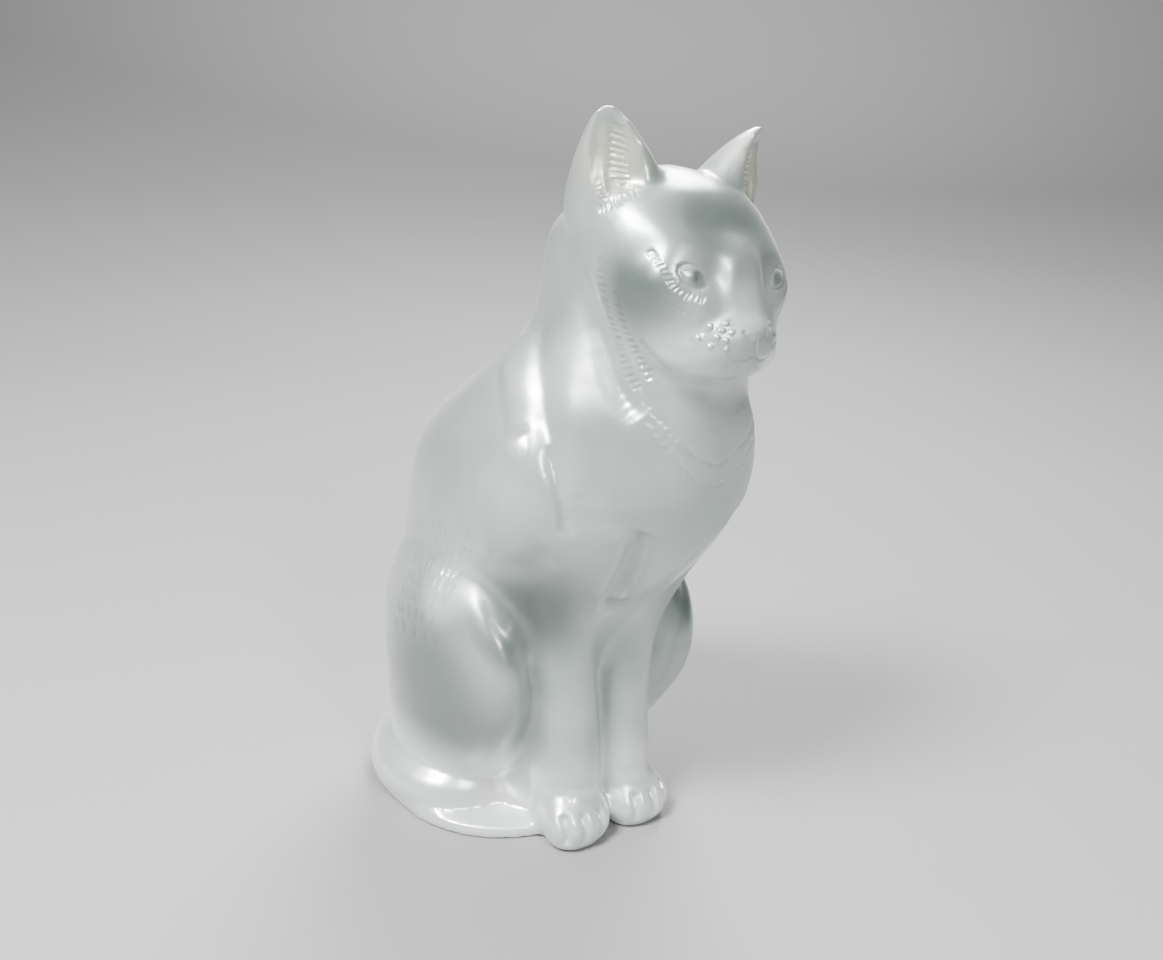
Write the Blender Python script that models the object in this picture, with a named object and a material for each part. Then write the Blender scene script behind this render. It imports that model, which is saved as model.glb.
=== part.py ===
"""A seated cat figurine, one casting of satin-frosted crystal, 210 mm high.

The cat faces -Y and its own left side is +X. It stands on z = 0, and the origin is
under the middle of its bounding box. Each section of the casting is one closed solid,
and a fine joint of GAP keeps neighbouring sections from touching. Lengths below are
in millimetres, measured from a point on the ground between the tips of the two
forepaws, with y growing towards the tail; MM and ORIGIN turn them into the frame.
"""

import math

import bmesh
import bpy
from mathutils import Vector

MM = 0.001
GAP = 0.3
HEIGHT = 210.0
ORIGIN = Vector((-1.43, 33.33, 0.0))
SLAB_TOP = 4.0

CRYSTAL = {
    "colour": (0.80, 0.84, 0.82, 1.0),
    "roughness": 0.38,
    "metallic": 0.0,
    "ior": 1.545,
}

# Level slices of the trunk, from the rump up to the nape: x, y, z, half width, half depth.
TRUNK = (
    (0, 57, 3, 30, 31),
    (0, 57, 20, 34, 34.5),
    (0, 56, 45, 36.5, 37),
    (0, 51, 70, 38.5, 43),
    (0, 41.5, 90, 40, 52),
    (0, 35, 106, 40.5, 56),
    (0, 28.5, 121, 39.5, 52.5),
    (0, 20.5, 134, 36, 43.5),
    (0, 14.5, 144, 30.5, 36),
    (0, 9.5, 155, 26.5, 31),
    (0, 8.5, 168, 25.5, 30),
    (0, 8.5, 181, 24.5, 27.5),
    (0, 8, 194, 19, 18),
)
TRUNK_EGG = 0.09
NECK_BASE = Vector((0, 14, 146))
NECK_LEAN = Vector((0, -0.42, 1)).normalized()

# Level slices of the skull, from the jaw up to the crown.
SKULL = (
    (0, -9, 144.5, 12, 13),
    (0, -8.5, 150, 18.5, 19.5),
    (0, -5.5, 158, 24, 22.5),
    (0, -2.5, 166, 27, 22.5),
    (0, 0, 175, 28, 21.5),
    (0, 1.5, 184, 26.5, 19.5),
    (0, 3.5, 191.5, 21.5, 16),
    (0, 4.5, 197.5, 12, 9),
)
MUZZLE = {"centre": (0, -21.5, 156), "radii": (13.5, 11, 9.5), "around": 22}
BROW = {"centre": (0, -15.3, 169), "radii": (24, 12.3, 13.5), "around": 26}

# The ear's own slices, for the left one: a wide foot on the skull, and the tip.
EAR = (
    (15.5, 5.4, 180, 14.2, 11.5),
    (16.6, 5, 188, 13.4, 10.6),
    (19.2, 3.6, 196, 10.8, 8),
    (23.1, 1.5, 204, 6.4, 5),
    (26.8, -0.6, HEIGHT, 2.2, 1.8),
)
EAR_TURN = math.radians(36)
EAR_HOLLOW = {"centre": (25.1, -4.6, 197), "radii": (8.0, 6.4, 13.5)}
EAR_HOLLOW_LEAN = math.radians(22)

# Slices of the left foreleg across its own run, from the wrist up into the shoulder.
FORELEG = (
    (9.7, 12.8, 8, 8.9, 9.6),
    (10, 16, 22, 9.7, 12),
    (10.4, 22, 42, 10, 15),
    (13, 27, 64, 13, 19),
    (17.6, 25.5, 84, 16.8, 21.5),
    (22, 17.5, 102, 18.3, 21.5),
    (25.5, 15.5, 118, 16.8, 19.5),
    (25.5, 21, 133, 11, 14),
)
# Upright slices of the left forepaw, from the heel to the toes.
FOREPAW = (
    (10.8, 22, 7, 8, 7.5),
    (11, 14, 7.6, 9.8, 9.2),
    (11.6, 6, 6.6, 11, 8.8),
    (12.2, -1, 4.8, 10.8, 6.4),
)
# Level slices of the left haunch.
HAUNCH = (
    (22, 56, 6, 16, 19),
    (26, 52, 20, 18.5, 27),
    (29, 49, 31, 17, 30.8),
    (32, 46, 43, 15.3, 33.5),
    (34, 46, 57, 13.4, 34),
    (32.5, 48, 71, 13.4, 31.3),
    (29.5, 51, 85, 11.9, 25),
    (26, 53, 96, 8, 14),
)
# Upright slices of the left hind foot, from the hock to the toes; the tail hides the right one.
HIND_FOOT = (
    (27, 68, 5.4, 6.5, 5.6),
    (28, 55, 6, 7.5, 6.6),
    (28, 42, 6.2, 8.4, 7),
    (27, 31, 5, 8, 5.6),
)
# Slices of the tail across its own run, from the rump round the right side to the forepaw.
TAIL = (
    (14, 88.5, 9, 9, 9.5),
    (-2, 90.5, 8, 8.6, 8.6),
    (-18, 87, 7.5, 8, 8),
    (-31.5, 78.5, 7.3, 7.7, 7.7),
    (-40.3, 67, 7.2, 7.5, 7.5),
    (-42.9, 56, 7.3, 7.5, 7.5),
    (-41.5, 46.5, 7.4, 7.6, 7.6),
    (-37, 39.5, 7.4, 7.6, 7.6),
    (-29, 36.3, 7.4, 7.6, 7.6),
    (-19, 35.3, 7.2, 7.4, 7.4),
    (-10, 35.3, 6.8, 7, 7),
)
SLAB = {"centre": (-6, 49.5), "half": (42, 38.5), "corner": 2.2}


def clear_scene():
    for old in list(bpy.data.objects):
        bpy.data.objects.remove(old, do_unlink=True)


def crystal(name):
    material = bpy.data.materials.new(name)
    material.use_nodes = True
    shader = material.node_tree.nodes["Principled BSDF"]
    shader.inputs["Base Color"].default_value = CRYSTAL["colour"]
    shader.inputs["Roughness"].default_value = CRYSTAL["roughness"]
    shader.inputs["Metallic"].default_value = CRYSTAL["metallic"]
    shader.inputs["IOR"].default_value = CRYSTAL["ior"]
    return material


def through(values, at):
    """A smooth curve through the slices, read at a place from 0 to 1 along them."""
    spans = len(values) - 1
    place = min(max(at, 0.0), 1.0) * spans
    i = min(int(place), spans - 1)
    t = place - i
    before, start = values[max(i - 1, 0)], values[i]
    end, after = values[i + 1], values[min(i + 2, spans)]
    return [
        0.5 * (2 * b + (c - a) * t + (2 * a - 5 * b + 4 * c - d) * t * t
               + (3 * b - a - 3 * c + d) * t ** 3)
        for a, b, c, d in zip(before, start, end, after)
    ]


def cap(at, low, high):
    """How full a slice is: rounded off over the share `low` at the start and `high` at the end."""
    full = 1.0
    if at < low:
        full = math.sqrt(max(0.0, 1 - ((low - at) / low) ** 2))
    if at > 1 - high:
        full *= math.sqrt(max(0.0, 1 - ((at - 1 + high) / high) ** 2))
    return full


def ring_axes(slices, at, plane):
    """The two directions that a slice lies in: level, upright, or across the run."""
    if plane == "level":
        return Vector((1, 0, 0)), Vector((0, 1, 0))
    if plane == "upright":
        return Vector((1, 0, 0)), Vector((0, 0, 1))
    step = 0.01
    run = Vector(through(slices, at + step)[:3]) - Vector(through(slices, at - step)[:3])
    if plane == "leg":
        deep = run.cross(Vector((1, 0, 0))).normalized() * -1
        return deep.cross(run).normalized(), deep
    side = run.cross(Vector((0, 0, 1))).normalized()
    return side, side.cross(run).normalized()


def face_out(body):
    """Turns a closed body's faces outwards."""
    bmesh.ops.recalc_face_normals(body, faces=body.faces[:])
    if body.calc_volume(signed=True) < 0:
        bmesh.ops.reverse_faces(body, faces=body.faces[:])
    return body


def loft(slices, plane, around=20, along=12, ends=(0.1, 0.1), squarer=2.0, turn=0.0, egg=0.0,
         mirror=1):
    """A round ball drawn out through the slices, as a bmesh in metres."""
    body = bmesh.new()
    bmesh.ops.create_uvsphere(body, u_segments=around, v_segments=along, radius=1.0)
    for vert in body.verts:
        polar = math.acos(max(-1.0, min(1.0, vert.co.z)))
        at = 1 - polar / math.pi
        at -= 0.5 * math.sin(2 * math.pi * at) / (2 * math.pi)
        x, y, z, wide, deep = through(slices, at)
        full = cap(at, *ends)
        angle = math.atan2(vert.co.y, vert.co.x) + turn
        flat = math.hypot(vert.co.x, vert.co.y)
        side, depth = ring_axes(slices, at, plane)
        across, inward = math.cos(angle - turn), math.sin(angle - turn)
        power = 2.0 / squarer
        across = math.copysign(abs(across) ** power, across)
        inward = math.copysign(abs(inward) ** power, inward)
        across *= 1 + egg * inward
        if flat < 1e-6:
            full = 0.0
        turned = side * math.cos(turn) + depth * math.sin(turn)
        crossed = depth * math.cos(turn) - side * math.sin(turn)
        place = Vector((x, y, z)) + (turned * across * wide + crossed * inward * deep) * full
        place.x *= mirror
        vert.co = (place - ORIGIN) * MM
    return face_out(body)


def ball(centre, radii, lean=0.0, turn=0.0, around=20, along=12, mirror=1):
    body = bmesh.new()
    bmesh.ops.create_uvsphere(body, u_segments=around, v_segments=along, radius=1.0)
    for vert in body.verts:
        x, y, z = (c * r for c, r in zip(vert.co, radii))
        x, z = x * math.cos(lean) + z * math.sin(lean), z * math.cos(lean) - x * math.sin(lean)
        x, y = x * math.cos(turn) - y * math.sin(turn), y * math.cos(turn) + x * math.sin(turn)
        place = Vector(centre) + Vector((x, y, z))
        place.x *= mirror
        vert.co = (place - ORIGIN) * MM
    return face_out(body)


def slice_off(body, point, facing):
    """Cuts away what lies on the side that `facing` points to, and closes the cut flat."""
    cut = bmesh.ops.bisect_plane(
        body,
        geom=body.verts[:] + body.edges[:] + body.faces[:],
        plane_co=(Vector(point) - ORIGIN) * MM,
        plane_no=facing,
        clear_outer=True,
        dist=1e-7,
    )
    edges = [e for e in cut["geom_cut"] if isinstance(e, bmesh.types.BMEdge)]
    bmesh.ops.holes_fill(body, edges=edges)
    return face_out(body)


def slab():
    """The thin flat foot of the casting, inside the ring of paws and tail."""
    body = bmesh.new()
    bmesh.ops.create_circle(body, cap_ends=True, segments=48, radius=1.0)
    power = 2.0 / SLAB["corner"]
    for vert in body.verts:
        x = math.copysign(abs(vert.co.x) ** power, vert.co.x) * SLAB["half"][0]
        y = math.copysign(abs(vert.co.y) ** power, vert.co.y) * SLAB["half"][1]
        place = Vector((SLAB["centre"][0] + x, SLAB["centre"][1] + y, 0))
        vert.co = (place - ORIGIN) * MM
    raised = bmesh.ops.extrude_face_region(body, geom=body.faces[:])
    top = [v for v in raised["geom"] if isinstance(v, bmesh.types.BMVert)]
    bmesh.ops.translate(body, verts=top, vec=(0, 0, SLAB_TOP * MM))
    return face_out(body)


def grown(body, by):
    """A copy that stands proud of the first by the same amount all over."""
    copy = body.copy()
    copy.normal_update()
    for vert in copy.verts:
        vert.co += vert.normal * by * MM * vert.calc_shell_factor()
    return copy


def put(name, body, material=None):
    mesh = bpy.data.meshes.new(name)
    body.to_mesh(mesh)
    thing = bpy.data.objects.new(name, mesh)
    bpy.context.collection.objects.link(thing)
    if material:
        mesh.materials.append(material)
    mesh.shade_smooth()
    mesh.set_sharp_from_angle(angle=math.radians(40))
    return thing


def tool(name, body):
    guide = put(name, body)
    guide.hide_render = True
    guide.display_type = "WIRE"
    return guide


def boolean(thing, guide, operation):
    step = thing.modifiers.new(operation.lower() + "_" + guide.name, "BOOLEAN")
    step.operation = operation
    step.object = guide
    step.solver = "EXACT"


def build():
    clear_scene()
    ground = ((0, 0, 0), (0, 0, -1))
    over_slab = ((0, 0, SLAB_TOP + GAP), (0, 0, -1))
    down = Vector((0, 0, -1))

    bodies = {}
    bodies["tail"] = slice_off(
        loft(TAIL, "across", around=16, along=30, ends=(0.06, 0.08)), *ground)
    bodies["left_hind_foot"] = slice_off(
        loft(HIND_FOOT, "upright", around=16, along=12, ends=(0.2, 0.2), squarer=2.3), *ground)
    for side, way in (("left", 1), ("right", -1)):
        bodies[side + "_forepaw"] = slice_off(
            loft(FOREPAW, "upright", around=20, along=12, ends=(0.3, 0.35), squarer=2.3,
                 mirror=way), *ground)
        bodies[side + "_foreleg"] = slice_off(
            loft(FORELEG, "leg", around=24, along=22, ends=(0.05, 0.12), mirror=way), *ground)
        bodies[side + "_haunch"] = slice_off(
            loft(HAUNCH, "level", around=24, along=18, ends=(0.12, 0.36), mirror=way), *over_slab)
        bodies[side + "_ear"] = loft(
            EAR, "level", around=20, along=12, ends=(0.05, 0.16), turn=EAR_TURN, mirror=way)
    bodies["head"] = loft(SKULL, "level", around=30, along=18, ends=(0.16, 0.2), squarer=2.25)
    trunk = slice_off(
        loft(TRUNK, "level", around=36, along=30, ends=(0.06, 0.1), squarer=2.15, egg=TRUNK_EGG),
        *over_slab)
    half_gap = NECK_LEAN * GAP / 2
    bodies["neck"] = slice_off(trunk.copy(), NECK_BASE + half_gap, -NECK_LEAN)
    bodies["torso"] = slice_off(trunk, NECK_BASE - half_gap, NECK_LEAN)
    bodies["base"] = slab()
    return bodies


def assemble(bodies):
    """Fits the sections to each other: a later one in each list gives way to the earlier ones."""
    material = {name: crystal(name + "_crystal") for name in bodies}
    things = {name: put(name, body, material[name]) for name, body in bodies.items()}
    cutters = {name: tool("cut_by_" + name, grown(body, GAP)) for name, body in bodies.items()}
    muzzle = tool("muzzle_form", ball(**MUZZLE))
    brow = tool("brow_form", ball(**BROW))
    boolean(things["head"], muzzle, "UNION")
    boolean(things["head"], brow, "UNION")
    cutters["muzzle"] = tool("cut_by_muzzle", grown(ball(**MUZZLE), GAP))
    cutters["brow"] = tool("cut_by_brow", grown(ball(**BROW), GAP))
    fits = {
        "torso": ["left_hind_foot", "tail"],
        "neck": ["head", "muzzle", "brow"],
        "base": ["tail", "left_hind_foot"],
        "tail": ["right_forepaw", "right_foreleg"],
        "left_hind_foot": ["left_foreleg", "left_forepaw", "tail"],
    }
    for side, way in (("left", 1), ("right", -1)):
        hollow = tool(side + "_ear_hollow",
                      ball(**EAR_HOLLOW, lean=EAR_HOLLOW_LEAN, turn=EAR_TURN, around=16,
                           mirror=way))
        boolean(things[side + "_ear"], hollow, "DIFFERENCE")
        fits[side + "_ear"] = ["head", "neck"]
        fits[side + "_foreleg"] = [side + "_forepaw"]
        fits[side + "_haunch"] = [side + "_foreleg", side + "_forepaw", "tail"]
        fits["torso"] += [side + part for part in ("_foreleg", "_haunch", "_forepaw")]
        fits["base"] += [side + part for part in ("_foreleg", "_forepaw")]
    fits["right_foreleg"].append("left_foreleg")
    fits["left_haunch"].append("left_hind_foot")
    for name, others in fits.items():
        for other in others:
            boolean(things[name], cutters[other], "DIFFERENCE")


assemble(build())
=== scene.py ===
"""The looks of a seated cat figurine in satin-frosted crystal.

The sections of the casting are closed up into one seamless skin, and the face, ears,
fur marks, muscles and toes are then modelled on it. Places are in millimetres from a
point on the ground between the tips of the forepaws: x to the cat's left, y towards its
tail and z up. A mark that both sides have is given on the right side, where x < 0.
"""

import math

import bmesh
import bpy
import numpy as np
from mathutils import Matrix, Vector
from mathutils.kdtree import KDTree


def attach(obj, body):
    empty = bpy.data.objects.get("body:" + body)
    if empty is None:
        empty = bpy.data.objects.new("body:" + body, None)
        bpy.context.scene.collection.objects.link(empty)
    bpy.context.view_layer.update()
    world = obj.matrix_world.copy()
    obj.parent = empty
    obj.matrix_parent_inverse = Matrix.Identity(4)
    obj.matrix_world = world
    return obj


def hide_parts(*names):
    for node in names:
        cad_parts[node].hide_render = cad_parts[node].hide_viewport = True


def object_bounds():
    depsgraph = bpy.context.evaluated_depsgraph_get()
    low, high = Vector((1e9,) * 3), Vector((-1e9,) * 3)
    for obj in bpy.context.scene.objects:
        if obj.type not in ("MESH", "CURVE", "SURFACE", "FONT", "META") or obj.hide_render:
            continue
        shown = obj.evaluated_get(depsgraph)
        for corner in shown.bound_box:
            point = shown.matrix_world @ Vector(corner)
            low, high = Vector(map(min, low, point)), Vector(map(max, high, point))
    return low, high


MM = 0.001
ORIGIN = np.array((-1.43, 33.33, 0.0))
OVERLAP = 0.3 * MM
VOXEL = 1.3 * MM
MOST_TRIANGLES = 196000
# Where the limbs meet at the right forepaw, and the snout: centre, and how far round it the
# skin is smoothed.
PAW_CORNER = np.array((-18, 26, 16))
PAW_CORNER_REACH = 16
SNOUT = np.array((0, -28, 158))
SNOUT_RADII = np.array((14, 9, 9))
# Where tail, haunch and foreleg run together without a gap, and where the tail leaves the
# back: centre and radius.
FILLS = (((-15.5, 26, 6.5), 7), ((-19, 27, 14), 6.5), ((-19, 26, 22), 6.5), ((-21, 25, 30), 6),
         ((10, 89, 9), 9), ((7, 87, 17), 9.5), ((4, 86, 26), 9.5), ((2, 84, 36), 10))

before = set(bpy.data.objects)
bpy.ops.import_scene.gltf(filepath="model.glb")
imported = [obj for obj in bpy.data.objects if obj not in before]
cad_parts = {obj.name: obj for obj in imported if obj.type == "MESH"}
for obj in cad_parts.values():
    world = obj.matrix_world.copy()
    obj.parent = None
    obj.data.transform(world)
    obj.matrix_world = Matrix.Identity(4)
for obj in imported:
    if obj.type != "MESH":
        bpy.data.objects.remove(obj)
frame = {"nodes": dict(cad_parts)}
cad_low, cad_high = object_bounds()
BOX_LOW = np.array(cad_low) / MM + ORIGIN
BOX_HIGH = np.array(cad_high) / MM + ORIGIN


def grown_sections(nodes):
    """Every section, a little swollen so that each one runs into its neighbours."""
    whole = bmesh.new()
    for name in sorted(nodes):
        section = bmesh.new()
        section.from_mesh(nodes[name].data)
        bmesh.ops.remove_doubles(section, verts=section.verts[:], dist=1e-6)
        section.normal_update()
        for vert in section.verts:
            vert.co += vert.normal * OVERLAP
        mesh = bpy.data.meshes.new(name + "_swollen")
        section.to_mesh(mesh)
        section.free()
        whole.from_mesh(mesh)
        bpy.data.meshes.remove(mesh)
    for centre, radius in FILLS:
        place = (np.array(centre) - ORIGIN) * MM
        bmesh.ops.create_uvsphere(whole, u_segments=24, v_segments=16, radius=radius * MM,
                                  matrix=Matrix.Translation(place.tolist()))
    return whole


def applied(thing):
    """Takes the modifiers' result as the mesh."""
    graph = bpy.context.evaluated_depsgraph_get()
    finished = bpy.data.meshes.new_from_object(thing.evaluated_get(graph))
    old = thing.data
    thing.modifiers.clear()
    thing.data = finished
    bpy.data.meshes.remove(old)


def closed_skin(whole):
    """One closed skin round all the sections."""
    mesh = bpy.data.meshes.new("crystal_cat")
    whole.to_mesh(mesh)
    whole.free()
    thing = bpy.data.objects.new("crystal_cat", mesh)
    bpy.context.scene.collection.objects.link(thing)
    remesh = thing.modifiers.new("one_skin", "REMESH")
    remesh.mode = "VOXEL"
    remesh.voxel_size = VOXEL
    applied(thing)
    return thing


def finer(thing):
    halved = thing.modifiers.new("finer", "SUBSURF")
    halved.levels = 1
    halved.render_levels = 1
    applied(thing)


def finer_where(thing, wanted):
    """Halves the mesh again over the places that `wanted` picks."""
    clay = Clay(thing.data)
    picked = wanted(clay.place)
    body = bmesh.new()
    body.from_mesh(thing.data)
    body.verts.ensure_lookup_table()
    edges = [e for e in body.edges if picked[e.verts[0].index] and picked[e.verts[1].index]]
    bmesh.ops.subdivide_edges(body, edges=edges, cuts=1, use_grid_fill=True, smooth=0.0)
    body.to_mesh(thing.data)
    body.free()


def curve(points, gap=0.4):
    """A smooth line through the points: places and headings every `gap` along it."""
    knots = np.array(points, float)
    spans = len(knots) - 1
    out = []
    for i in range(spans):
        before, start = knots[max(i - 1, 0)], knots[i]
        end, after = knots[i + 1], knots[min(i + 2, spans)]
        steps = max(2, int(np.linalg.norm(end - start) / gap))
        for t in np.arange(steps) / steps:
            out.append(0.5 * (2 * start + (end - before) * t
                              + (2 * before - 5 * start + 4 * end - after) * t * t
                              + (3 * start - before - 3 * end + after) * t ** 3))
    out.append(knots[-1])
    line = np.array(out)
    heading = np.gradient(line, axis=0)
    return line, heading / np.linalg.norm(heading, axis=1)[:, None]


class Clay:
    """A mesh's points and normals, in millimetres, and the ways to work them."""

    def __init__(self, mesh):
        self.mesh = mesh
        flat = np.empty(len(mesh.vertices) * 3)
        mesh.vertices.foreach_get("co", flat)
        self.place = flat.reshape(-1, 3) / MM + ORIGIN
        ends = np.empty(len(mesh.edges) * 2, int)
        mesh.edges.foreach_get("vertices", ends)
        self.ends = ends.reshape(-1, 2)
        self.degree = np.bincount(ends, minlength=len(self.place))[:, None]
        self.tree = None
        self.read_normals()

    def read_normals(self):
        flat = np.empty(len(self.place) * 3)
        self.mesh.vertex_normals.foreach_get("vector", flat)
        self.normal = flat.reshape(-1, 3)

    def keep(self):
        """Writes the points back to the mesh, none of them outside the casting's size."""
        self.place = np.clip(self.place, BOX_LOW, BOX_HIGH)
        self.mesh.vertices.foreach_set("co", ((self.place - ORIGIN) * MM).ravel())
        self.mesh.update()
        self.tree = None
        self.read_normals()

    def relax(self, times, share=None, factor=0.5):
        a, b = self.ends[:, 0], self.ends[:, 1]
        count = len(self.place)
        weight = factor if share is None else factor * share[:, None]
        for _ in range(times):
            mean = np.stack([
                np.bincount(a, self.place[b, i], count) + np.bincount(b, self.place[a, i], count)
                for i in range(3)], axis=1) / self.degree
            self.place += (mean - self.place) * weight

    def close_to(self, line, heading, reach):
        """The points within reach of a line: which, their place on it and their offset."""
        low, high = line.min(axis=0) - reach, line.max(axis=0) + reach
        inside = np.nonzero(np.all((self.place > low) & (self.place < high), axis=1))[0]
        spots = self.place[inside]
        away = (spots ** 2).sum(axis=1)[:, None] - 2 * spots @ line.T + (line ** 2).sum(axis=1)
        nearest = away.argmin(axis=1)
        offset = spots - line[nearest]
        ahead = (offset * heading[nearest]).sum(axis=1)
        inner = (nearest > 0) & (nearest < len(line) - 1)
        offset[inner] -= (ahead[:, None] * heading[nearest])[inner]
        within = (offset ** 2).sum(axis=1) < reach * reach
        return inside[within], nearest[within], offset[within]

    def on_skin(self, spots):
        """Each spot moved to the nearest point of the skin, with the skin's normal there."""
        if self.tree is None:
            self.tree = KDTree(len(self.place))
            for i, spot in enumerate(self.place.tolist()):
                self.tree.insert(spot, i)
            self.tree.balance()
        which = [self.tree.find(spot)[1] for spot in np.asarray(spots).tolist()]
        return self.place[which], self.normal[which]

    def groove(self, points, depth, width, ends=0.25):
        """Cuts a round-bottomed groove, or with a depth below 0 raises a ridge."""
        line, heading = curve(points, max(0.4, width * 0.6))
        line = 0.5 * (line + self.on_skin(line)[0])
        picked, nearest, offset = self.close_to(line, heading, width * 2.6)
        along = nearest / (len(line) - 1)
        taper = np.sin(np.clip(np.minimum(along, 1 - along) / ends, 0, 1) * math.pi / 2)
        move = -depth * np.exp(-(offset ** 2).sum(axis=1) / width ** 2) * taper
        self.place[picked] += self.normal[picked] * move[:, None]

    def fold(self, points, height, crisp, soft, way=1, ends=0.2, dip=0.4):
        """Raises the skin to the left of a line: a crisp step at it, dying away over `soft`."""
        line, heading = curve(points, 1.0)
        line = 0.5 * (line + self.on_skin(line)[0])
        picked, nearest, offset = self.close_to(line, heading, soft * 2.2)
        leftward = np.cross(self.normal[picked], heading[nearest]) * way
        side = (offset * leftward).sum(axis=1)
        along = nearest / (len(line) - 1)
        taper = np.sin(np.clip(np.minimum(along, 1 - along) / ends, 0, 1) * math.pi / 2)
        step = 0.5 * (1 + np.tanh(side / crisp)) * np.exp(-(np.maximum(side, 0) / soft) ** 2)
        step -= dip * np.exp(-((side + crisp) / crisp) ** 2)
        self.place[picked] += self.normal[picked] * (height * step * taper)[:, None]

    def swell(self, centre, radii, height, push=None):
        """Raises a soft mound, or sinks a hollow, along the normal or along `push`."""
        off = (self.place - np.array(centre, float)) / np.array(radii, float)
        away = (off ** 2).sum(axis=1)
        picked = away < 6
        move = height * np.exp(-away[picked])[:, None]
        way = self.normal[picked] if push is None else np.array(push, float)
        self.place[picked] += move * way

    def level(self, centre, facing, radii, strength):
        """Planes the skin down, or fills it up, to a flat that faces one way."""
        facing = np.array(facing, float) / np.linalg.norm(facing)
        off = (self.place - np.array(centre, float))
        away = ((off / np.array(radii, float)) ** 2).sum(axis=1)
        picked = (away < 4) & ((self.normal * facing).sum(axis=1) > 0)
        share = strength * np.exp(-away[picked] ** 2)
        self.place[picked] -= facing * ((off[picked] * facing).sum(axis=1) * share)[:, None]

    def bead(self, centre, radius, height):
        spot, normal = self.on_skin([np.array(centre, float)])
        away = np.linalg.norm(self.place - spot[0], axis=1) / radius
        picked = away < 1
        self.place[picked] += normal[0] * (height * np.sqrt(1 - away[picked] ** 2))[:, None]

    def dashes(self, points, count, length, slant, depth, width, way=1, bend=0.0):
        """A row of short cuts along a line, each turned by `slant` from it."""
        line, heading = curve(points)
        at = np.linspace(0, len(line) - 1, count).astype(int)
        spots, normals = self.on_skin(line[at])
        for i, (spot, normal) in enumerate(zip(spots, normals)):
            ahead = heading[at[i]]
            leftward = np.cross(normal, ahead) * way
            turn = math.radians(slant + bend * (i / max(count - 1, 1) - 0.5))
            run = ahead * math.cos(turn) + leftward * math.sin(turn)
            run *= length * (0.85 + 0.3 * ((i * 7) % 5) / 5) / 2
            self.groove([spot - run, spot, spot + run], depth, width, ends=0.45)


def both(mark, points, *rest, **more):
    """Makes a mark on the right side and, turned over, on the left."""
    has_a_left = mark.__name__ in ("fold", "dashes")
    for side in (1, -1):
        if has_a_left:
            more["way"] = side
        mark([(x * side, y, z) for x, y, z in points], *rest, **more)


def both_swell(clay, centre, radii, height, push=None):
    for side in (1, -1):
        x, y, z = centre
        aim = None if push is None else (push[0] * side, push[1], push[2])
        clay.swell((x * side, y, z), radii, height, aim)


def large_forms(clay):
    """Muscles, neck bands, haunches and the fold of the chest."""
    # Neck: a band from behind the ear to a point on the chest, a hollow in front of it.
    both(clay.groove, [(-27.5, 3.5, 174), (-26, 1.5, 163), (-24.5, -3, 152.5), (-23, -9.5, 142),
                       (-20.5, -15, 135.5)], 2.2, 3.4)
    both(clay.groove, [(-25.5, 22, 157), (-29, 17, 148), (-33, 8.5, 136.5), (-35, 2, 125),
                       (-33.5, -2, 112.5)], 1.5, 3.4)
    both(clay.groove, [(-27, 9, 168), (-28.5, 7, 152), (-31, 1, 138), (-31.5, -2.5, 123),
                       (-30.5, -4.5, 113)], -1.1, 5.0)
    # Shoulder blade and the ball of the shoulder.
    both_swell(clay, (-30, 29, 139), (8, 12, 14), 1.6)
    both(clay.fold, [(-25, 31, 152), (-30, 29.5, 143), (-36, 21.5, 134.5), (-40, 15, 126)],
         1.1, 1.3, 7, dip=0.3)
    both(clay.fold, [(-36, 8, 128), (-39, 15, 125), (-41, 20.5, 118.5), (-40.5, 25, 108.5),
                     (-39.5, 26.5, 99.5), (-38, 26, 88)], 1.5, 1.1, 10, dip=0.6)
    both_swell(clay, (-38, 12, 106), (10, 11, 15), 1.3)
    both(clay.groove, [(-35, 3, 126), (-34.5, -0.5, 119), (-33, -2.5, 111), (-31, -3.5, 102)],
         1.5, 1.9)
    both(clay.groove, [(-33, 0, 97), (-36.5, 9, 91), (-38.5, 21, 93)], 0.8, 4.5)
    both(clay.groove, [(-32, -3, 109), (-25.5, -9, 107.5), (-18, -16, 107.5), (-9.5, -21, 110),
                       (-4, -23, 112)], 0.3, 3.2)
    # The valleys where the chest runs down to a point between the legs.
    clay.groove([(-17, -15, 106), (-14.5, -10, 93.5), (-11.5, -2, 82), (-8, 7, 71)], 3.4, 2.8)
    clay.fold([(14, -17.5, 141), (16.5, -18, 130), (17.5, -18, 120), (14.5, -18.8, 111),
               (8, -18.8, 104), (2, -13.5, 95), (-3, -4, 84), (-8, 6, 74)],
              1.9, 0.8, 8, way=-1, ends=0.12, dip=0.9)
    clay.groove([(14, -19, 110), (7, -17.5, 102.5), (1, -12, 93), (-3, -4, 84), (-7, 4, 76)],
                1.4, 1.5)
    # Legs, and the haunch's front line.
    both_swell(clay, (-30, 4, 84), (8, 8, 16), -0.7)
    both(clay.groove, [(-40, 28, 84), (-37.5, 22, 76), (-34.5, 18, 67), (-31, 15, 56),
                       (-27.5, 16, 41), (-21, 21, 28)], 1.0, 2.4)
    both_swell(clay, (-44, 38, 72), (7, 12, 12), 0.8)
    clay.swell((-18, 27, 12), (6, 6, 6), 2.2)


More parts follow.
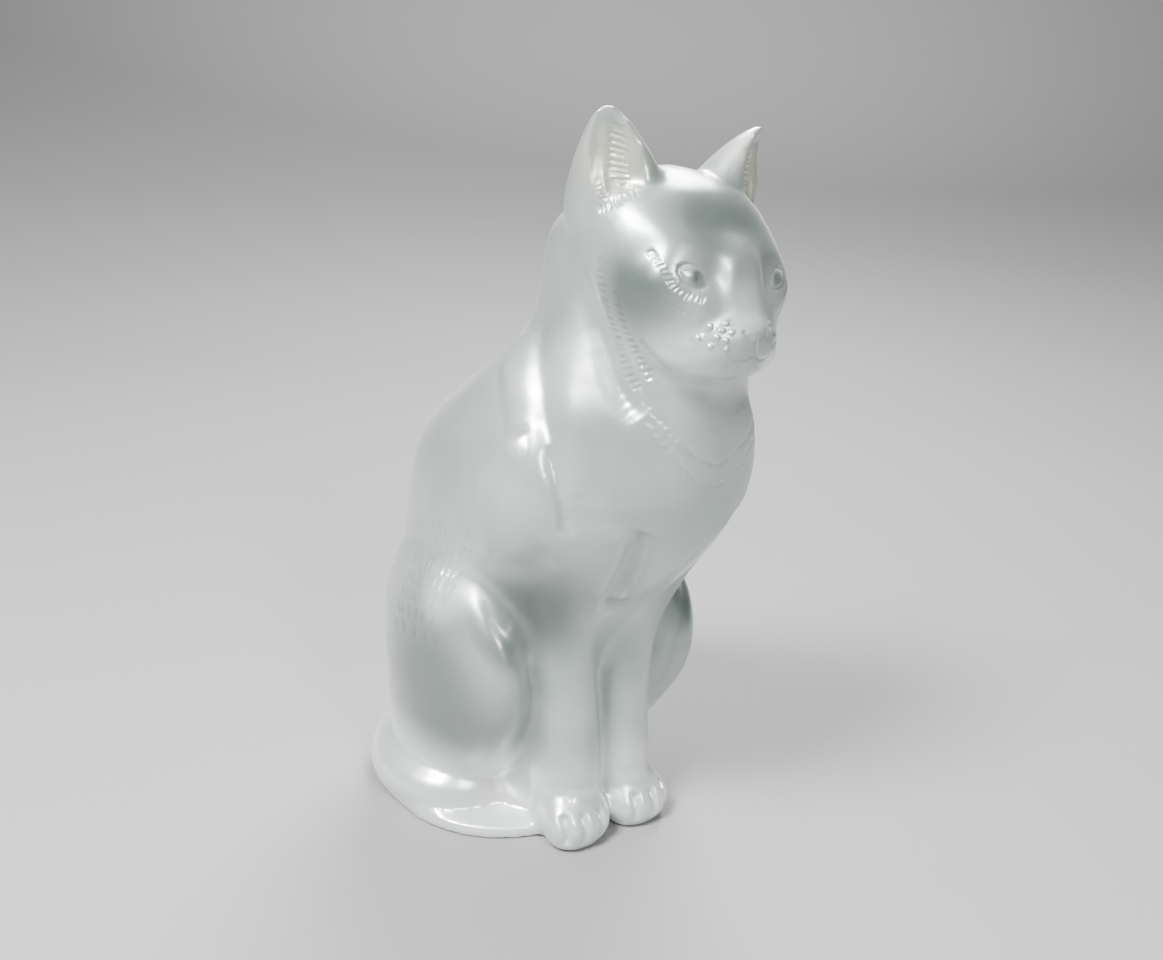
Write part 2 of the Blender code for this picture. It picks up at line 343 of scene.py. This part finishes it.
def face_forms(clay):
    """The planes of the head, its brow, eyes, nose and jowls."""
    both_swell(clay, (-23, -15, 165), (5.5, 6.5, 9), 1.0)
    both_swell(clay, (-19.5, -19, 171), (5, 6, 8), 1.3)
    both_swell(clay, (-17, -16, 183), (8, 6, 5), 0.7)
    both_swell(clay, (-15, -18.5, 180), (9, 6, 4), 1.2)
    both_swell(clay, (-14.8, -24, 172), (7.5, 6, 5.4), -2.0)
    both_swell(clay, (-8.6, -26, 172), (4, 5, 7), -1.2)
    clay.swell((0, -24, 170), (4.5, 8, 10), 1.2)
    both_swell(clay, (-12.5, -24.5, 165.5), (6, 5, 4), 1.1)
    both_swell(clay, (-9.5, -27.5, 156), (7, 5, 5), 0.5)
    both_swell(clay, (-15, -20.5, 153), (6.5, 6, 4.5), 1.7)
    clay.swell((0, -29, 149.5), (5.5, 4, 2.6), 1.2)
    clay.swell((0, -30.5, 160.5), (4, 3, 3), 0.7)
    both(clay.groove, [(-3, -29.6, 151.6), (-7, -28, 151), (-11, -25.5, 151.6)], 0.5, 1.5)
    # Jaw line, and the hollow under it.
    both(clay.fold, [(-21.5, -15, 156.5), (-18.5, -18, 152), (-15, -20.5, 149.5), (-9, -24, 147),
                     (-2, -26, 146.5)], 1.2, 1.0, 5, ends=0.3, dip=0.8)
    # Nose bridge: one broad plane.
    clay.level((0, -27, 168), (0, -0.93, 0.37), (5, 6, 9), 0.6)


def ears(clay):
    both_swell(clay, (-27.5, 0, 195), (6, 9, 9), 0.8, push=(-1, 0, 0))
    clay.swell((28, -2, 197), (7, 7, 9), 2.6, push=(0.77, -0.64, 0))
    clay.swell((-28, -1.5, 196), (3.5, 3.5, 9), 1.8, push=(-0.2, 1, 0))
    both(clay.groove, [(-27, -1.4, 205), (-26.4, -1, 198), (-26, -0.4, 192), (-25.4, -0.4, 188)],
         -1.1, 1.4)


def eyes(clay):
    """Round eyeballs in almond lids, each with a sunk pupil."""
    both_swell(clay, (-15.1, -23.8, 172), (3.3, 3, 2.5), 1.5)
    both(clay.groove, [(-18.8, -21, 173.4), (-17.2, -22.4, 174.5), (-15.2, -23.6, 174.6),
                       (-12.8, -24.8, 173.2), (-11.2, -25.8, 170.6)], 0.75, 0.55, ends=0.12)
    both(clay.groove, [(-18.8, -21, 173.4), (-17.6, -22.4, 170.9), (-15.4, -23.8, 169.6),
                       (-13, -25, 169.5), (-11.2, -25.8, 170.6)], 0.55, 0.5, ends=0.12)
    both(clay.groove, [(-14.4, -25, 173.6), (-14.2, -25.5, 172.2), (-14.3, -25.5, 170.8)],
         0.8, 0.8, ends=0.4)


def muzzle(clay):
    clay.groove([(0, -32, 158), (0, -32, 156), (0, -31.4, 154.2)], 0.35, 0.5, ends=0.3)
    both(clay.groove, [(0, -31.4, 154.4), (-2.2, -31.2, 153), (-4.6, -30.4, 152.7),
                       (-6.6, -29.4, 153.2)], 0.45, 0.6, ends=0.2)
    both(clay.groove, [(-0.8, -32.2, 157.8), (-3, -31.8, 158.6), (-4, -30.8, 160)], 0.35, 0.5)
    for centre in ((-11, -26.5, 160.5), (-7.6, -28.5, 161.3), (-8.6, -28.5, 159.6),
                   (-6.8, -29.5, 159.2), (-10.2, -28.5, 158), (-8.2, -29.5, 157.3),
                   (-13.3, -25, 157.5), (-11.2, -27.5, 155.7), (-8.4, -30, 155.2)):
        for side in (1, -1):
            clay.bead((centre[0] * side, centre[1], centre[2]), 0.7, 0.5)


def fur(clay):
    """Rows of short cuts: the ruff, the brows, under the eyes and inside the ears."""
    both(clay.dashes, [(-28, -2, 173.5), (-27, -4, 166.5), (-25.5, -4.5, 160), (-24, -6, 154),
                       (-22.5, -8.5, 148.5), (-20.5, -12.5, 143)], 21, 4.0, 78, 0.6, 0.5)
    both(clay.dashes, [(-26, -8.5, 166), (-24.5, -10, 160), (-22.5, -11, 155),
                       (-20, -12.5, 150.5), (-18, -14.5, 146)], 14, 3.0, 78, 0.5, 0.48)
    both(clay.dashes, [(-26.4, -0.6, 185.5), (-24.5, -3, 187), (-22.6, -4.6, 188.6),
                       (-20.2, -6, 190)], 8, 3, 80, 0.4, 0.4)
    both(clay.dashes, [(-21.5, -15, 176.5), (-21.3, -18.5, 173.5), (-20.2, -21.2, 170),
                       (-17.5, -23.3, 167.6), (-13, -25.2, 166.6)], 16, 2.6, 70, 0.2, 0.4)
    both(clay.dashes, [(-21.5, -19.5, 167), (-19, -22, 164.5), (-15, -24, 163)],
         8, 2.2, 58, 0.14, 0.4)
    both(clay.dashes, [(-24.8, -1.8, 204.5), (-23.8, -2, 200.5), (-22.8, -2, 196.5),
                       (-21.8, -2.2, 192.5), (-20.5, -3, 189.5)],
         13, 5.5, 70, 0.42, 0.42, bend=24)
    both(clay.dashes, [(-2.4, -29.5, 151.2), (-4.5, -29, 150.8), (-6.5, -28, 150.8)],
         5, 1.6, 70, 0.25, 0.35)


def body_fur(clay):
    """The collar lines, and the fur over the hip and down the back of the haunch."""
    both(clay.dashes, [(-20, -13.5, 141.5), (-15.5, -19, 134.5), (-8, -23, 127.5),
                       (-1, -24, 124)], 15, 2.6, 24, 0.28, 0.5)
    both(clay.dashes, [(-18.5, -16.5, 135.5), (-13.5, -20.5, 127.5), (-8.5, -23, 122),
                       (-1, -23.7, 118)], 13, 2.4, 24, 0.26, 0.5)
    for drop, shift, count in ((0, 0, 11), (5, 1.5, 12), (10, 3, 12), (15, 4, 11), (20, 4.5, 9),
                               (25, 4.5, 7), (30, 4, 5)):
        both(clay.dashes, [(-42, 31 + shift, 92 - drop), (-43, 43, 91 - drop),
                           (-41, 60 - shift, 89 - drop)], count, 5.0, 96, 0.55, 0.6, bend=50)


def paws(clay):
    for points in ([(-19.2, 4, 12), (-19.6, 0.8, 8), (-20, 0, 3)],
                   [(-13.6, 1, 12.4), (-13.8, -2.2, 7.5), (-14, -3, 2.5)],
                   [(-7.4, 2, 12), (-6.4, -1.4, 7.5), (-6, -2, 2.5)]):
        both(clay.groove, points, 2.3, 0.95, ends=0.22)
    for x, y in ((-21, 3), (-16.6, 0.5), (-10.2, -1), (-4, 1)):
        both_swell(clay, (x, y, 7), (2.6, 3, 4), 0.6)
    both(clay.groove, [(-17.5, 4.5, 18.5), (-17, 5, 16.5), (-17.4, 4, 15)], 0.5, 0.9)
    both(clay.groove, [(-20, 9, 17), (-14, 4, 17.5), (-8, 3, 17.5), (-3, 6, 17)], 0.5, 2.0)


def behind(clay):
    """The back, which is a plain run of muscle either side of the spine."""
    clay.groove([(0, 41, 172), (0, 50, 150), (0, 68, 132), (0, 84, 112), (0, 91, 90), (0, 93, 60),
                 (0, 93, 30)], 0.7, 4.0)
    both_swell(clay, (-17, 72, 122), (14, 16, 20), 0.8)


def fine_areas(place):
    """The face and the ears, which carry the smallest marks."""
    x, y, z = np.abs(place[:, 0]), place[:, 1], place[:, 2]
    face = (z > 142) & (z < 182) & (y < -1.5 - 0.02 * (z - 142))
    brow = (z > 182) & (z < 206) & (x > 17) & (y < 2)
    ear = (z > 184) & (z < 208) & (x > 17) & (y < 6)
    return face | brow | ear


def smooth_casting(clay):
    """Takes the joints between the sections out of the skin, but not out of the ears or paws."""
    clay.relax(3)
    height = clay.place[:, 2]
    clay.relax(14, np.clip((height - 16) / 6, 0, 1) * np.clip((188 - height) / 8, 0, 1))
    corner = np.linalg.norm(clay.place - PAW_CORNER, axis=1)
    clay.relax(12, np.clip((PAW_CORNER_REACH - corner) / 5, 0, 1))
    clay.keep()


def sculpt_forms(clay):
    large_forms(clay)
    face_forms(clay)
    behind(clay)
    clay.keep()
    clay.relax(2)
    snout = np.linalg.norm((clay.place - SNOUT) / SNOUT_RADII, axis=1)
    clay.relax(12, np.clip((1.3 - snout) * 2.5, 0, 1))
    clay.keep()


def sculpt_details(clay):
    clay.relax(2)
    clay.keep()
    ears(clay)
    eyes(clay)
    muzzle(clay)
    clay.keep()
    fur(clay)
    body_fur(clay)
    paws(clay)
    clay.keep()


def thinned(thing):
    """Brings the mesh down to the most triangles that a piece may have."""
    fewer = thing.modifiers.new("fewer", "DECIMATE")
    thing.data.calc_loop_triangles()
    fewer.ratio = min(1.0, MOST_TRIANGLES / len(thing.data.loop_triangles))
    applied(thing)


cat = closed_skin(grown_sections(frame["nodes"]))
smooth_casting(Clay(cat.data))
finer(cat)
sculpt_forms(Clay(cat.data))
finer_where(cat, fine_areas)
sculpt_details(Clay(cat.data))
thinned(cat)
cat.data.shade_smooth()


# The crystal's colours: a cloudy grey-green, with painted shade where it looks dark and
# painted highlights and a painted glow where it looks bright, and a warm tint in places.
PALE_A = (0.52, 0.60, 0.57, 1)
PALE_B = (0.72, 0.77, 0.74, 1)
# Painted shade: a darker grey for the forehead, cheeks, eyes, lower haunch and upper foreleg.
PAINTED_SHADE = (0.15, 0.19, 0.18, 1)
# Painted light: highlights on the nose bridge, jowls, neck band and haunch, and a glow towards
# the paws and base.
PAINTED_LIGHT = (0.93, 0.97, 0.96, 1)
WARM = (0.86, 0.82, 0.62, 1)
# Where those tones lie, on both sides alike: centre and radius.
PAINTED_SHADE_PLACES = (((7, -14, 186), 24), ((24, -14, 168), 15), ((41, 38, 46), 36),
              ((33, 10, 74), 27), ((14.5, -25, 172), 4))
PAINTED_LIGHT_PLACES = (((0, -30, 165), 9), ((14, -22, 152), 11), ((29, 4, 145), 16),
                 ((44, 36, 76), 13))
WARM_PLACES = (((20, 36, 11), 16), ((24, -1, 197), 12))


# The crystal's material: a satin, partly see-through surface whose colour also carries painted
# shade and painted highlights.
def crystal_and_painted_light():
    material = bpy.data.materials.new("satin_crystal_with_painted_light")
    material.use_nodes = True
    nodes, links = material.node_tree.nodes, material.node_tree.links
    shader = nodes["Principled BSDF"]

    def maths(operation, first, second=0.0):
        made = nodes.new("ShaderNodeMath")
        made.operation = operation
        for socket, value in zip(made.inputs, (first, second)):
            if isinstance(value, bpy.types.NodeSocket):
                links.new(value, socket)
            else:
                socket.default_value = value
        return made.outputs[0]

    def noise(scale, detail=2.0):
        made = nodes.new("ShaderNodeTexNoise")
        made.inputs["Scale"].default_value = scale
        made.inputs["Detail"].default_value = detail
        links.new(where.outputs["Object"], made.inputs["Vector"])
        return made.outputs["Fac"]

    def patch(centre, radius):
        """1 at a place on both sides of the cat, fading to 0 at the radius."""
        place = nodes.new("ShaderNodeVectorMath")
        place.operation = "DISTANCE"
        links.new(folded.outputs[0], place.inputs[0])
        place.inputs[1].default_value = [c * MM for c in centre]
        fade = nodes.new("ShaderNodeMapRange")
        fade.interpolation_type = "SMOOTHSTEP"
        fade.inputs["From Min"].default_value = radius * MM
        fade.inputs["From Max"].default_value = 0.25 * radius * MM
        links.new(place.outputs["Value"], fade.inputs["Value"])
        return fade.outputs[0]

    def patches(places):
        whole = patch(*places[0])
        for centre, radius in places[1:]:
            whole = maths("MAXIMUM", whole, patch(centre, radius))
        return whole

    def tinted(below, colour, share):
        mix = nodes.new("ShaderNodeMix")
        mix.data_type = "RGBA"
        links.new(share, mix.inputs["Factor"])
        links.new(below, mix.inputs["A"])
        mix.inputs["B"].default_value = colour
        return mix.outputs["Result"]

    where = nodes.new("ShaderNodeTexCoord")
    parts = nodes.new("ShaderNodeSeparateXYZ")
    links.new(where.outputs["Object"], parts.inputs[0])
    folded = nodes.new("ShaderNodeCombineXYZ")
    middle = float(ORIGIN[0]) * MM
    links.new(maths("ABSOLUTE", maths("ADD", parts.outputs[0], middle)), folded.inputs[0])
    links.new(maths("ADD", parts.outputs[1], float(ORIGIN[1]) * MM), folded.inputs[1])
    links.new(parts.outputs[2], folded.inputs[2])

    cloud = noise(24, 3)
    tone = nodes.new("ShaderNodeValToRGB")
    tone.color_ramp.elements[0].position = 0.36
    tone.color_ramp.elements[0].color = PALE_A
    tone.color_ramp.elements[1].position = 0.64
    tone.color_ramp.elements[1].color = PALE_B
    links.new(cloud, tone.inputs["Fac"])
    colour = tone.outputs["Color"]
    # Painted shade over the forehead, cheeks, eyes, lower haunch and upper foreleg.
    colour = tinted(colour, PAINTED_SHADE, maths("MULTIPLY", patches(PAINTED_SHADE_PLACES), 0.85))
    # Painted light: paler towards the paws and base, plus painted highlights on the nose bridge,
    # jowls, neck band and haunch.
    low = nodes.new("ShaderNodeMapRange")
    low.interpolation_type = "SMOOTHSTEP"
    low.inputs["From Min"].default_value = 34 * MM
    low.inputs["From Max"].default_value = 14 * MM
    links.new(parts.outputs[2], low.inputs["Value"])
    colour = tinted(colour, PAINTED_LIGHT, maths("MAXIMUM", low.outputs[0], patches(PAINTED_LIGHT_PLACES)))
    colour = tinted(colour, WARM, maths("MULTIPLY", patches(WARM_PLACES), 0.5))
    links.new(colour, shader.inputs["Base Color"])

    gloss = nodes.new("ShaderNodeMapRange")
    gloss.inputs["To Min"].default_value = 0.29
    gloss.inputs["To Max"].default_value = 0.40
    links.new(noise(55), gloss.inputs["Value"])
    links.new(gloss.outputs[0], shader.inputs["Roughness"])
    grain = nodes.new("ShaderNodeBump")
    grain.inputs["Strength"].default_value = 0.12
    grain.inputs["Distance"].default_value = 0.1 * MM
    links.new(noise(1500), grain.inputs["Height"])
    links.new(grain.outputs[0], shader.inputs["Normal"])
    shader.inputs["IOR"].default_value = 1.54
    shader.inputs["Metallic"].default_value = 0.3
    shader.inputs["Transmission Weight"].default_value = 0.42
    shader.inputs["Coat Weight"].default_value = 0.7
    shader.inputs["Coat Roughness"].default_value = 0.23
    shader.inputs["Sheen Weight"].default_value = 0.3
    shader.inputs["Sheen Roughness"].default_value = 0.35
    return material


cat.data.materials.clear()
cat.data.materials.append(crystal_and_painted_light())
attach(cat, "root")
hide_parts(*sorted(frame["nodes"]))


def camera():
    data = bpy.data.cameras.new("camera")
    data.sensor_width = 36
    data.lens = 32.5
    data.clip_start = 0.01
    thing = bpy.data.objects.new("camera", data)
    bpy.context.scene.collection.objects.link(thing)
    heading, pitch, roll = math.radians(-39.66), math.radians(15.5), math.radians(4.5)
    turn = Matrix.Rotation(heading, 4, "Z") @ Matrix.Rotation(math.pi / 2 - pitch, 4, "X")
    turn = turn @ Matrix.Rotation(roll, 4, "Z")
    thing.matrix_world = Matrix.Translation((-0.1933, -0.2376, 0.1901)) @ turn
    bpy.context.scene.camera = thing


def lamp(name, place, aim, size, power):
    data = bpy.data.lights.new(name, "AREA")
    data.size = size
    data.energy = power
    thing = bpy.data.objects.new(name, data)
    bpy.context.scene.collection.objects.link(thing)
    thing.location = place
    thing.rotation_euler = (Vector(aim) - Vector(place)).to_track_quat("-Z", "Y").to_euler()


def sweep():
    """A pale floor that curves up into a wall a long way off, so that no edge shows."""
    mesh = bpy.data.meshes.new("sweep")
    bowl = bmesh.new()
    last = bowl.verts.new((0, 0, 0))
    flat, curl, rings, around = 0.4, 3.2, 16, 72
    for step in range(rings + 1):
        angle = step / rings * math.pi / 2
        ring = bowl.verts.new((flat + curl * math.sin(angle), 0, curl * (1 - math.cos(angle))))
        bowl.edges.new((last, ring))
        last = ring
    bmesh.ops.spin(bowl, geom=bowl.verts[:] + bowl.edges[:], cent=(0, 0, 0), axis=(0, 0, 1),
                   angle=2 * math.pi, steps=around, use_merge=True)
    bmesh.ops.remove_doubles(bowl, verts=bowl.verts[:], dist=1e-5)
    bmesh.ops.recalc_face_normals(bowl, faces=bowl.faces[:])
    bowl.to_mesh(mesh)
    bowl.free()
    mesh.shade_smooth()
    thing = bpy.data.objects.new("sweep", mesh)
    bpy.context.scene.collection.objects.link(thing)
    material = bpy.data.materials.new("pale_floor")
    material.use_nodes = True
    shader = material.node_tree.nodes["Principled BSDF"]
    shader.inputs["Base Color"].default_value = (0.34, 0.34, 0.34, 1)
    shader.inputs["Roughness"].default_value = 0.8
    mesh.materials.append(material)


camera()
sweep()
heart = (0, 0, 0.12)
lamp("key", (-0.55, -0.1, 0.75), heart, 0.26, 14)
lamp("front", (-0.15, -0.75, 0.6), heart, 0.15, 3.5)
lamp("rim", (0.55, 0.5, 0.95), heart, 0.5, 17)
lamp("overhead", (0, 0, 2.3), (0, 0, 0), 1.8, 17)
lamp("wall", (0.9, 1.1, 1.6), (2.3, 2.8, 0.5), 1.2, 22)
world = bpy.data.worlds.new("studio")
world.use_nodes = True
world.node_tree.nodes["Background"].inputs["Color"].default_value = (0.55, 0.56, 0.58, 1)
world.node_tree.nodes["Background"].inputs["Strength"].default_value = 0.16
bpy.context.scene.world = world
bpy.context.scene.view_settings.look = "AgX - Medium High Contrast"
